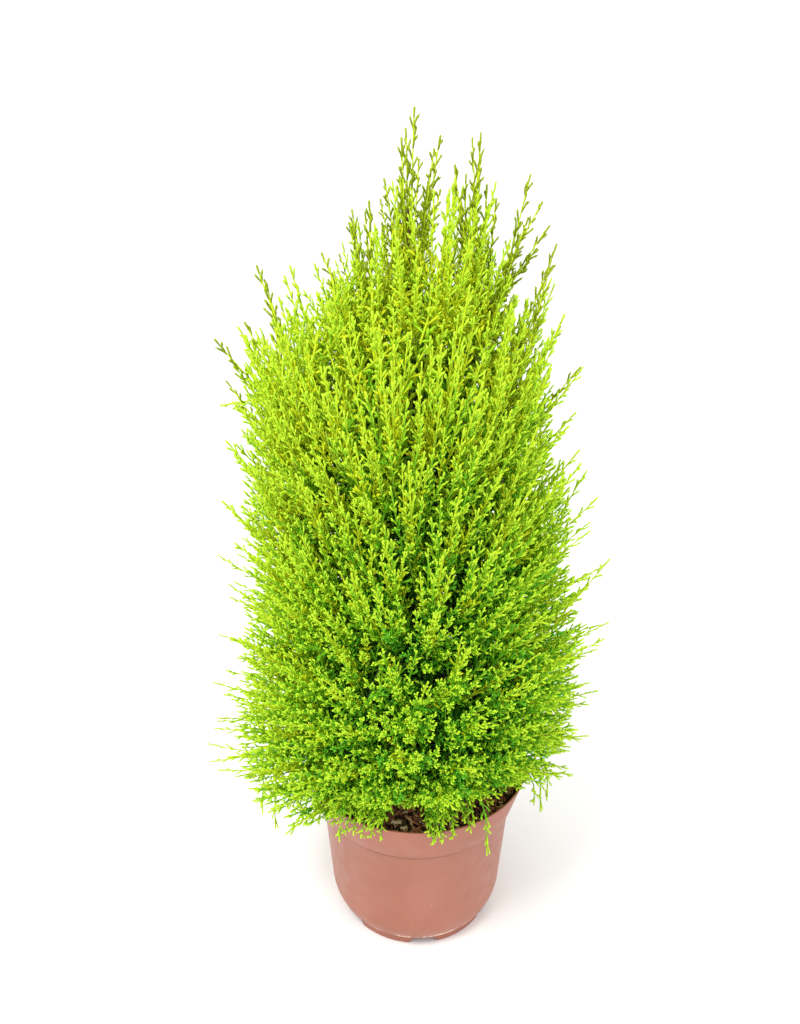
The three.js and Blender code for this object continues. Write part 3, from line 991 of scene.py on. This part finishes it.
def spun(outline, steps):
    """A closed shell from an outline of radius and height that starts and ends on the axis."""
    bm = bmesh.new()
    corners = [bm.verts.new((radius, 0, height)) for radius, height in outline]
    edges = [bm.edges.new(pair) for pair in zip(corners, corners[1:])]
    bmesh.ops.spin(
        bm, geom=corners + edges, cent=(0, 0, 0), axis=(0, 0, 1),
        angle=2 * math.pi, steps=steps, use_merge=True,
    )
    bmesh.ops.remove_doubles(bm, verts=bm.verts, dist=1e-6)
    bmesh.ops.recalc_face_normals(bm, faces=bm.faces)
    return bm


def bevel_rings(bm, angle, width):
    """Rounds the edges that run round the axis where the wall turns sharply."""
    sharp = []
    for edge in bm.edges:
        level = abs(edge.verts[0].co.z - edge.verts[1].co.z) < 1e-6
        radii = [math.hypot(v.co.x, v.co.y) for v in edge.verts]
        around = level and abs(radii[0] - radii[1]) < 1e-6 and radii[0] > 1e-4
        if around and edge.is_manifold and edge.calc_face_angle() > angle:
            sharp.append(edge)
    bmesh.ops.bevel(
        bm, geom=sharp, offset=width, segments=2, profile=0.5,
        affect="EDGES", material=-1, clamp_overlap=True,
    )


# %% The pot's outline
WALL = 1.8 * MM
POT_FLOOR = 2.6 * MM
BAND_RADIUS, BAND_HEIGHT = RIM_RADIUS - 10.5 * MM, RIM_HEIGHT - 34 * MM
BODY_RADIUS, BODY_HEIGHT = BAND_RADIUS - 3 * MM, BAND_HEIGHT - 2 * MM
SHOULDER_RADIUS, SHOULDER_HEIGHT = 74.8 * MM, 30 * MM
HEEL_RADIUS, HEEL_HEIGHT = 68 * MM, 8.5 * MM
FOOT_RADIUS, FOOT_WIDTH = 65.6 * MM, 3.4 * MM
CHANNEL_HEIGHT, CHANNEL_SLOPE, BOSS_RADIUS = 6 * MM, 3.5 * MM, 30 * MM
STEP_HEIGHT = 1 * MM
SHOULDER_STEPS = 7
SHOULDER_START = math.radians(45)
POT_STEPS = 180
SHARP, ROUNDING = math.radians(20), 0.6 * MM


def shoulder(inset, lift):
    """The rounded shoulder between the foot and the body; it starts at a slant and ends upright."""
    points = []
    for k in range(SHOULDER_STEPS + 1):
        turn = SHOULDER_START + (math.pi / 2 - SHOULDER_START) * k / SHOULDER_STEPS
        out = (math.sin(turn) - math.sin(SHOULDER_START)) / (1 - math.sin(SHOULDER_START))
        up = 1 - math.cos(turn) / math.cos(SHOULDER_START)
        radius = HEEL_RADIUS + (SHOULDER_RADIUS - HEEL_RADIUS) * out
        height = HEEL_HEIGHT + (SHOULDER_HEIGHT - HEEL_HEIGHT) * up
        points.append((radius - inset, height + lift))
    return points


pot_outline = [
    (0, 0), (BOSS_RADIUS, 0), (BOSS_RADIUS + CHANNEL_SLOPE, CHANNEL_HEIGHT),
    (FOOT_RADIUS - FOOT_WIDTH, CHANNEL_HEIGHT), (FOOT_RADIUS - FOOT_WIDTH, 0), (FOOT_RADIUS, 0),
    (FOOT_RADIUS, HEEL_HEIGHT - STEP_HEIGHT), *shoulder(0, 0),
    (BODY_RADIUS, BODY_HEIGHT), (BAND_RADIUS, BAND_HEIGHT), (RIM_RADIUS, RIM_HEIGHT),
    (RIM_RADIUS - WALL, RIM_HEIGHT), (BAND_RADIUS - WALL, BAND_HEIGHT),
    (BODY_RADIUS - WALL, BODY_HEIGHT - WALL),
    *reversed(shoulder(WALL, WALL)), (0, CHANNEL_HEIGHT + POT_FLOOR),
]
pot_shape = spun(pot_outline, POT_STEPS)
bevel_rings(pot_shape, SHARP, ROUNDING)
print("the pot is", round(2 * RIM_RADIUS, 4), "m wide and", round(RIM_HEIGHT, 4), "m high")

# %% [markdown]
# The notches in the foot let water out. The foot ring already has a corner every two degrees, so its
# lowest corners are simply lifted in six places. A corner between the lifted and the standing ones
# rises part of the way, which gives each notch the sloping sides of a moulded one.

# %% Notches
NOTCH_COUNT = 6
NOTCH_WIDTH = 17 * MM
NOTCH_SLOPE = 4 * MM
NOTCH_HEIGHT = 5.4 * MM
NOTCH_AZIMUTH = math.radians(-85)
FOOT_MARGIN = 0.5 * MM
for vert in pot_shape.verts:
    radius = math.hypot(vert.co.x, vert.co.y)
    if radius < FOOT_RADIUS - FOOT_WIDTH - FOOT_MARGIN or vert.co.z > NOTCH_HEIGHT:
        continue
    turn = (math.atan2(vert.co.y, vert.co.x) - NOTCH_AZIMUTH) * NOTCH_COUNT / (2 * math.pi)
    from_middle = abs(turn - round(turn)) * 2 * math.pi / NOTCH_COUNT * radius
    lift = (NOTCH_WIDTH / 2 + NOTCH_SLOPE - from_middle) / NOTCH_SLOPE
    vert.co.z += (NOTCH_HEIGHT - vert.co.z) * max(0, min(1, lift))
print(NOTCH_COUNT, "notches of", NOTCH_WIDTH / MM, "mm")

# %% [markdown]
# ## The plastic
# The pot is terracotta-coloured polypropylene: satin, slightly chalky, with faint streaks from the
# mould, pale specks, and a pale line round the heel, partly a scuff where the foot has been dragged and
# partly a painted highlight on the rounded edge just above it. All of it is driven by Object coordinates,
# so a band at one height or a streak stays where it is on the pot. Painted shade in the corner under the
# rim band draws its edge as a fine darker line.

# %% Node helpers
def shader_of(name, roughness, specular):
    material = bpy.data.materials.new(name)
    material.use_nodes = True
    shader = material.node_tree.nodes["Principled BSDF"]
    shader.inputs["Roughness"].default_value = roughness
    shader.inputs["Specular IOR Level"].default_value = specular
    return material, shader


class Nodes:
    """Short calls for the nodes that these materials use."""

    def __init__(self, material):
        self.tree = material.node_tree
        self.place = self.tree.nodes.new("ShaderNodeTexCoord").outputs["Object"]

    def new(self, kind, **settings):
        node = self.tree.nodes.new(kind)
        for name, value in settings.items():
            setattr(node, name, value)
        return node

    def link(self, source, target):
        self.tree.links.new(source, target)

    def stretched(self, scale):
        node = self.new("ShaderNodeMapping")
        node.inputs["Scale"].default_value = scale
        self.link(self.place, node.inputs["Vector"])
        return node.outputs["Vector"]

    def noise(self, scale, detail=3.0, roughness=0.55, stretch=None):
        node = self.new("ShaderNodeTexNoise")
        node.inputs["Scale"].default_value = scale
        node.inputs["Detail"].default_value = detail
        node.inputs["Roughness"].default_value = roughness
        self.link(self.stretched(stretch) if stretch else self.place, node.inputs["Vector"])
        return node.outputs["Fac"]

    def ramp(self, value, places, tones):
        """Three tones that run into each other, from a dark one to a light one."""
        node = self.new("ShaderNodeValToRGB")
        elements = node.color_ramp.elements
        elements.new(places[1])
        for element, place, tone in zip(elements, places, tones):
            element.position = place
            element.color = linear(*tone)
        self.link(value, node.inputs["Fac"])
        return node.outputs["Color"]

    def mask(self, value, low, high):
        """0 below the low value, 1 above the high one; reversed where low is the higher."""
        node = self.new("ShaderNodeMapRange", clamp=True, interpolation_type="SMOOTHSTEP")
        node.inputs["From Min"].default_value = low
        node.inputs["From Max"].default_value = high
        self.link(value, node.inputs["Value"])
        return node.outputs["Result"]

    def math(self, operation, first, second):
        node = self.new("ShaderNodeMath", operation=operation)
        for socket, value in zip(node.inputs, (first, second)):
            if isinstance(value, (int, float)):
                socket.default_value = value
            else:
                self.link(value, socket)
        return node.outputs["Value"]

    def mix(self, amount, first, second):
        node = self.new("ShaderNodeMix", data_type="RGBA")
        self.link(amount, node.inputs["Factor"])
        for name, value in (("A", first), ("B", second)):
            socket = [s for s in node.inputs if s.name == name and s.type == "RGBA"][0]
            if isinstance(value, tuple):
                socket.default_value = linear(*value)
            else:
                self.link(value, socket)
        return [s for s in node.outputs if s.type == "RGBA"][0]

    def tint(self, color, mask, share, tone):
        """A colour with a share of another tone over it where the mask is 1."""
        return self.mix(self.math("MULTIPLY", mask, share), color, tone)

    def axis(self, name):
        node = self.new("ShaderNodeSeparateXYZ")
        self.link(self.place, node.inputs["Vector"])
        return node.outputs[name]

    def bump(self, height, distance):
        node = self.new("ShaderNodeBump")
        node.inputs["Distance"].default_value = distance
        self.link(height, node.inputs["Height"])
        return node.outputs["Normal"]


# %% The pot's finish
TERRACOTTA = ((152, 88, 66), (160, 95, 73), (166, 101, 79))
# The darkest tone on the next line is painted shade for the corner under the rim band.
STREAK, BAND_TONE, BAND_SHADE_TONE = (172, 108, 88), (162, 94, 74), (124, 66, 50)
# The palest tone on the next line is for the heel line: partly a scuff, partly a painted highlight.
SPECK_TONE, SCUFF_AND_HIGHLIGHT_TONE = (226, 190, 172), (244, 224, 206)
BAND_BLUR = 0.4 * MM
# The painted shade under the rim band runs between these two heights.
BAND_SHADE_LOW, BAND_SHADE_HIGH = BODY_HEIGHT - 3.4 * MM, BODY_HEIGHT - 1.8 * MM
# Where the pale heel line runs: partly a scuff, partly a painted highlight on the rounded edge above the
# heel.
HEEL_LINE_HEIGHT = HEEL_HEIGHT + 2.6 * MM
HEEL_LINE_WIDTH, HEEL_LINE_CORE = 3.0 * MM, 0.4
HEEL_LINE_WANDER = 5 * MM
RIGHT_STRONGER = 0.09
GRAIN = 0.04 * MM


def terracotta(nodes):
    """The pot's colour: soft clouds, faint upright streaks, a lighter band, painted shade under it, specks.
    """
    color = nodes.ramp(nodes.noise(14), (0.3, 0.55, 0.75), TERRACOTTA)
    streaks = nodes.mask(nodes.noise(36, 3, 0.5, (1.2, 1.2, 0.25)), 0.45, 0.75)
    color = nodes.tint(color, streaks, 0.25, STREAK)
    band = nodes.mask(nodes.axis("Z"), BAND_HEIGHT - BAND_BLUR, BAND_HEIGHT + BAND_BLUR)
    color = nodes.tint(color, band, 0.25, BAND_TONE)
    # A fine line of painted shade just under the rim band.
    band_shade = nodes.math("SUBTRACT", nodes.mask(nodes.axis("Z"), BAND_SHADE_LOW, BAND_SHADE_HIGH), band)
    color = nodes.tint(color, band_shade, 0.5, BAND_SHADE_TONE)
    specks = nodes.mask(nodes.noise(380, 1, 0.4), 0.79, 0.82)
    return nodes.tint(color, specks, 0.6, SPECK_TONE)


def scuffed_and_lit_edge(nodes):
    """A thin pale line round the heel that wanders and breaks off, strongest on the right: partly a scuff,
    partly a painted highlight.
    """
    wander = nodes.math("MULTIPLY", nodes.math("SUBTRACT", nodes.noise(110, 3), 0.5), HEEL_LINE_WANDER)
    from_edge = nodes.math("SUBTRACT", nodes.math("ADD", nodes.axis("Z"), wander), HEEL_LINE_HEIGHT)
    line = nodes.mask(nodes.math("ABSOLUTE", from_edge, 0), HEEL_LINE_WIDTH, HEEL_LINE_CORE * HEEL_LINE_WIDTH)
    right = nodes.math("MULTIPLY", nodes.mask(nodes.axis("X"), -10 * MM, 25 * MM), RIGHT_STRONGER)
    patchy_right = nodes.mask(nodes.math("ADD", nodes.noise(60, 4, 0.7), right), 0.48, 0.58)
    patches = nodes.math("MULTIPLY", patchy_right, nodes.mask(nodes.noise(190, 4, 0.7), 0.40, 0.54))
    return nodes.math("MULTIPLY", line, patches)


def make_plastic():
    material, shader = shader_of("pot_plastic", 0.42, 0.6)
    nodes = Nodes(material)
    scuff_and_highlight = scuffed_and_lit_edge(nodes)
    # The pale heel line is partly a scuff and partly a painted highlight.
    color = nodes.tint(terracotta(nodes), scuff_and_highlight, 0.9, SCUFF_AND_HIGHLIGHT_TONE)
    nodes.link(color, shader.inputs["Base Color"])
    rough = nodes.math("MULTIPLY", nodes.mask(nodes.noise(90, 3), 0.2, 0.8), 0.16)
    rough = nodes.math("ADD", rough, 0.36)
    rough = nodes.math("ADD", rough, nodes.math("MULTIPLY", scuff_and_highlight, 0.25))
    nodes.link(rough, shader.inputs["Roughness"])
    nodes.link(nodes.bump(nodes.noise(700, 3), GRAIN), shader.inputs["Normal"])
    return material


pot = new_piece("pot_shell", pot_shape, [make_plastic()])
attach(pot, "root")
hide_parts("pot")

# %% [markdown]
# ## The compost
# The compost is a loose mix of black peat and short brown chips of bark. Its body is spun like the
# pot and its top is raised and dipped by noise. The chips and crumbs that lie on it are joined copies
# of a few small uneven blocks, because a bump alone looks flat this close to the rim.

# %% The top of the compost
SOIL_RINGS = 26
SOIL_STEPS = 110
SOIL_RELIEF = 2.6 * MM
SOIL_GAP = 1.0 * MM
SOIL_SINK = 1.5 * MM
EDGE_DROP = 2 * MM
MOUND_SCALE, CRUMB_SCALE = 34, 260
soil_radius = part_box("root_ball")[1].x - 0.2 * MM
soil_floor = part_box("root_ball")[0].z


def soil_height(x, y):
    """The top of the compost: broad mounds, fine crumbs, and a dip along the wall of the pot."""
    place = Vector((x, y, 0))
    mounds = noise.fractal(place * MOUND_SCALE, 0.6, 2.0, 3)
    crumbs = noise.fractal(place * CRUMB_SCALE, 0.8, 2.0, 2)
    near_wall = max(0.0, math.hypot(x, y) / soil_radius - 0.9) * 10
    return SOIL_HEIGHT - SOIL_SINK + SOIL_RELIEF * (0.8 * mounds + 0.35 * crumbs) - EDGE_DROP * near_wall


print("the compost is", round(2 * soil_radius, 4), "m wide")


# %% The body of the compost
def make_compost_body():
    side = [
        (0, soil_floor), (HEEL_RADIUS - POT_FLOOR - 1.2 * MM, soil_floor),
        (SHOULDER_RADIUS - WALL - SOIL_GAP, SHOULDER_HEIGHT + WALL),
        (BODY_RADIUS - WALL - SOIL_GAP, BODY_HEIGHT - WALL),
        (BAND_RADIUS - WALL - SOIL_GAP, BAND_HEIGHT),
    ]
    top = [(soil_radius * (1 - k / SOIL_RINGS), SOIL_HEIGHT) for k in range(SOIL_RINGS + 1)]
    bm = spun(side + top, SOIL_STEPS)
    for vert in bm.verts:
        if vert.co.z > SOIL_HEIGHT - 1e-5:
            vert.co.z = soil_height(vert.co.x, vert.co.y)
    return bm


PEAT = ((28, 20, 14), (62, 44, 30), (104, 76, 54))


def make_peat():
    material, shader = shader_of("compost", 0.95, 0.2)
    nodes = Nodes(material)
    color = nodes.ramp(nodes.noise(240, 5, 0.65), (0.3, 0.55, 0.75), PEAT)
    nodes.link(color, shader.inputs["Base Color"])
    nodes.link(nodes.bump(nodes.noise(520, 4, 0.7), 0.6 * MM), shader.inputs["Normal"])
    return material


compost = new_piece("compost_body", make_compost_body(), [make_peat()])
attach(compost, "root")
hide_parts("root_ball")

# %% [markdown]
# The chips and crumbs are made the way the sprays were: a few small blocks with uneven ends, copied
# and joined. Each copy takes one of five plain colours and lies on the peat at a slant of its own.

# %% Chips and crumbs
# The names of the heaps, how many pieces each has, the sizes of their blocks in millimetres, the seeds.
HEAPS = (
    ("bark_chips", 1500, ((9, 3, 1.3), (7, 2.6, 1.4), (5, 2.4, 1.5), (6, 1.6, 1.0)), 21),
    ("compost_crumbs", 2600, ((2.2, 1.8, 1.4), (1.6, 1.3, 1.2), (3.0, 1.1, 0.9)), 22),
)
UNEVEN_ENDS = 0.22
WALL_MARGIN = 3 * MM
CHIP_COLORS = {
    "chip_dark": (96, 66, 48), "chip_brown": (168, 114, 82), "chip_tan": (216, 170, 128),
    "chip_red": (188, 118, 86), "chip_pale": (230, 204, 172),
}
CHIP_SHARES = (0.22, 0.30, 0.20, 0.20, 0.08)


def make_chip(size):
    """A flake of bark: a block with uneven ends, along +Z so that it can be laid like a twig."""
    length, width, height = (side * MM for side in size)
    bm = bmesh.new()
    bmesh.ops.create_cube(bm, size=1)
    bmesh.ops.scale(bm, vec=(width, height, length), verts=bm.verts)
    bmesh.ops.translate(bm, vec=(0, 0, length / 2), verts=bm.verts)
    for vert in bm.verts:
        vert.co += Vector(rng.uniform(-UNEVEN_ENDS, UNEVEN_ENDS, 3)) * width
    bmesh.ops.triangulate(bm, faces=bm.faces[:])
    return taken(bm) | {"length": length}


def lie_on_soil(length, radius, azimuth, stream):
    """A curve for a piece that lies on the compost at a random slant."""
    x, y = radius * math.cos(azimuth), radius * math.sin(azimuth)
    turn = stream.uniform(0, 2 * math.pi)
    level = np.array([math.cos(turn), math.sin(turn), stream.uniform(-0.25, 0.3)]) * length
    base = np.array([x, y, soil_height(x, y) + stream.uniform(0.2, 1.6) * MM])
    return base - level / 2, base, base + level / 2


def scatter_chips(count, shapes, stream):
    heap = Joined()
    reach = soil_radius - WALL_MARGIN
    for _ in range(count):
        shape = shapes[stream.integers(len(shapes))]
        radius, azimuth = reach * math.sqrt(stream.random()), stream.uniform(0, 2 * math.pi)
        curve = lie_on_soil(shape["length"], radius, azimuth, stream)
        slot = np.array([stream.choice(len(CHIP_COLORS), p=CHIP_SHARES)])
        size = stream.uniform(0.7, 1.3)
        roll = np.array([stream.normal() * 0.4, stream.normal() * 0.4, 1.0])
        heap.add(shape, curve, (size, size), roll, slot)
    return heap


chip_materials = [plain_material(name, color, 0.9) for name, color in CHIP_COLORS.items()]
for name, count, sizes, seed in HEAPS:
    shapes = [make_chip(size) for size in sizes]
    heap = scatter_chips(count, shapes, np.random.default_rng(seed))
    piece = heap.mesh_object(name, chip_materials)
    piece.data.polygons.foreach_set("use_smooth", [False] * len(piece.data.polygons))
    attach(piece, "root")
    print(name, "has", len(piece.data.polygons), "faces")

# %% [markdown]
# ## Bark
# The trunk and the boughs are rings of a few corners in the frame. Here each limb is a finer tube
# along the same line. Its skin is pushed in and out by noise that is stretched along the limb, which
# is how the thin stringy bark of a young cypress peels.

# %% Bark on the trunk and the boughs
BARK_RELIEF = 0.55 * MM
BARK_FULL = 4 * MM
RIDGES_ROUND, RIDGES_ALONG = 3.2, 55
RING_ENDS = [7, 13, 19]
TRUNK_SIDES, TRUNK_STEPS = 26, 150
BOUGH_SIDES, BOUGH_STEPS = 12, 18
BARK_TONES = ((58, 42, 32), (104, 76, 56), (146, 116, 90))


def bough_line(name):
    """The middles and radii of a bough's rings, from the trunk outwards."""
    points = node_points(name)
    far = bough_end(name)
    near = points[np.linalg.norm(points - far, axis=1).argmax()]
    order = np.argsort((points - near) @ (far - near))
    rings = np.array_split(points[order], RING_ENDS)
    middles = np.array([ring.mean(0) for ring in rings])
    radii = [np.linalg.norm(ring - middle, axis=1).max() for ring, middle in zip(rings, middles)]
    return middles, np.array(radii)


def bark_tube(middles, radii, sides, steps, seed):
    """A closed tube through some middles, with relief that runs along it."""
    bm = bmesh.new()
    add_tube(bm, (1, 1), 1, sides, steps - 1)
    gaps = np.linalg.norm(np.diff(middles, axis=0), axis=1)
    lengths = np.concatenate([[0], np.cumsum(gaps)])

    def middle_at(along):
        return Vector([np.interp(along, lengths, middles[:, k]) for k in range(3)])

    for vert in bm.verts:
        along = vert.co.z * lengths[-1]
        turn = (middle_at(along + 2 * MM) - middle_at(along - 2 * MM)).to_track_quat("Z", "Y")
        side = Vector((vert.co.x, vert.co.y, 0))
        skin = side * RIDGES_ROUND
        skin.z = along * RIDGES_ALONG + seed
        plain = np.interp(along, lengths, radii)
        relief = BARK_RELIEF * noise.fractal(skin, 0.8, 2.0, 3) * min(1, plain / BARK_FULL)
        vert.co = middle_at(along) + turn @ side * (plain + relief)
    return bm


def make_bark():
    material, shader = shader_of("bark", 0.9, 0.2)
    nodes = Nodes(material)
    fibres = nodes.noise(260, 5, 0.65, (1, 1, 0.18))
    color = nodes.ramp(fibres, (0.3, 0.5, 0.7), BARK_TONES)
    nodes.link(color, shader.inputs["Base Color"])
    nodes.link(nodes.bump(fibres, 0.5 * MM), shader.inputs["Normal"])
    return material


bark = make_bark()
trunk_middles = trunk_rings[:, [1, 2, 0]]
trunk_tube = bark_tube(trunk_middles, trunk_rings[:, 3], TRUNK_SIDES, TRUNK_STEPS, 0)
trunk = new_piece("trunk_bark", trunk_tube, [bark])
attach(trunk, "root")
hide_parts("trunk")
for number, name in enumerate(bough_names):
    tube = bark_tube(*bough_line(name), BOUGH_SIDES, BOUGH_STEPS, 10 + number)
    piece = new_piece(name + "_bark", tube, [bark])
    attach(piece, "root")
    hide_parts(name)

# %% [markdown]
# ## The stage
# A pale floor under an even white sky gives soft light from every side. One broad lamp high on the left
# adds just enough direction to show the bunches of the crown and to ground the pot with a soft shadow.

# %% The floor and the light
FLOOR_RADIUS = 30
FLOOR_DROP = 0.0002
SKY = 1.25
LAMP_PLACE, LAMP_TARGET = Vector((-0.6, -0.8, 1.9)), Vector((0, 0, 0.3))
LAMP_SIZE, LAMP_POWER = 0.7, 22

floor_shape = bmesh.new()
bmesh.ops.create_circle(floor_shape, cap_ends=True, segments=64, radius=FLOOR_RADIUS)
floor_mesh = bpy.data.meshes.new("floor")
floor_shape.to_mesh(floor_mesh)
floor_shape.free()
floor = linked("floor", floor_mesh, [plain_material("floor_white", (247, 247, 247), 0.9, 0.0)])
floor.location.z = -FLOOR_DROP

world = bpy.data.worlds.new("world")
bpy.context.scene.world = world
world.use_nodes = True
background = world.node_tree.nodes["Background"]
background.inputs["Color"].default_value = (1, 1, 1, 1)
background.inputs["Strength"].default_value = SKY

light = bpy.data.lights.new("top_light", "AREA")
light.shape = "DISK"
light.size = LAMP_SIZE
light.energy = LAMP_POWER
lamp = bpy.data.objects.new("top_light", light)
lamp.location = LAMP_PLACE
lamp.rotation_euler = (LAMP_TARGET - LAMP_PLACE).to_track_quat("-Z", "Y").to_euler()
bpy.context.scene.collection.objects.link(lamp)
bpy.context.scene.view_settings.view_transform = "Standard"
print("a white sky of", SKY, "and a lamp of", LAMP_POWER, "watts")
